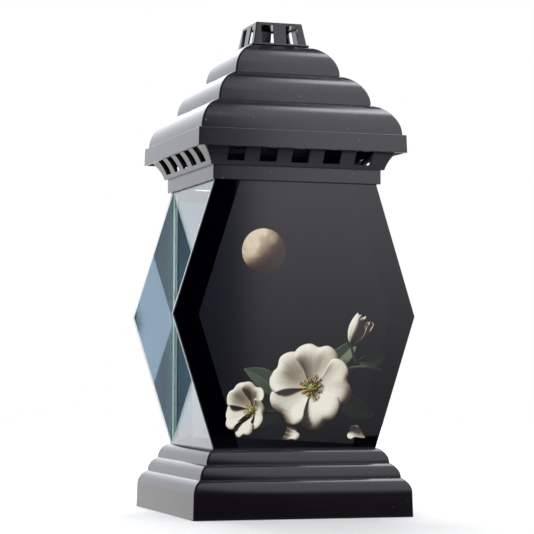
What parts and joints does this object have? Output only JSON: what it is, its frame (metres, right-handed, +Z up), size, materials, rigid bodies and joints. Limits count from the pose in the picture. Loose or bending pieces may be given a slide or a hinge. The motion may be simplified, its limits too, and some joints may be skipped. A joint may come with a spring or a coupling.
{
  "type": "grave lantern",
  "caption": "Glass grave lantern with a stepped plastic plinth, hexagonal printed and mirror panes, a vented frame, a lift-off stepped roof and a refill candle inside.",
  "frame": {"origin": "middle of the plinth's underside, on the surface that the lantern stands on", "axes": "+Z up, the printed front pane faces -Y, the wings point along +X and -X"},
  "size_m": [0.185, 0.166, 0.3663],
  "materials": {
    "roof_plastic": "satin moulded plastic, anthracite",
    "plinth_plastic": "semi-gloss moulded plastic, near black",
    "black_glass": "polished, painted black behind",
    "picture_print": "glossy printed film",
    "mirror_glass": "polished, silvered behind",
    "clear_glass": "polished float glass, greenish edge",
    "sealant": "translucent silicone",
    "steel": "zinc-plated sheet",
    "cup_plastic": "thin translucent cup",
    "wax": "cast wax",
    "cotton": "braided cotton",
    "gold_tin": "gold-lacquered tin"
  },
  "bodies": {
    "lantern_body": {"base_shell": "plinth_plastic", "front_pane": "black_glass", "picture_film": "picture_print", "back_pane": "mirror_glass", "left_pane": "clear_glass", "right_pane": "clear_glass", "base_seal": "sealant", "collar_seal": "sealant", "corner_bead_front_left": "sealant", "corner_bead_front_right": "sealant", "corner_bead_back_right": "sealant", "corner_bead_back_left": "sealant", "vent_frame": "roof_plastic"},
    "roof": {"roof_shell": "roof_plastic", "chimney_cap": "roof_plastic", "heat_shield": "steel", "shield_screw_1": "steel", "shield_screw_2": "steel", "shield_screw_3": "steel", "shield_screw_4": "steel"},
    "refill": {"refill_cup": "cup_plastic", "refill_wax": "wax", "wick": "cotton", "wick_disc": "steel", "refill_lid": "gold_tin"}
  },
  "joints": [
    {"name": "roof_lift", "type": "slide", "parent": "lantern_body", "child": "roof", "axis": [0, 0, 1], "range_m": [0, 0.4]},
    {"name": "refill_lift", "type": "slide", "parent": "lantern_body", "child": "refill", "axis": [0, 0, 1], "range_m": [0, 0.24]}
  ],
  "couplings": [
    {"joint": "refill_lift", "follows": "roof_lift", "ratio": 0.6}
  ]
}
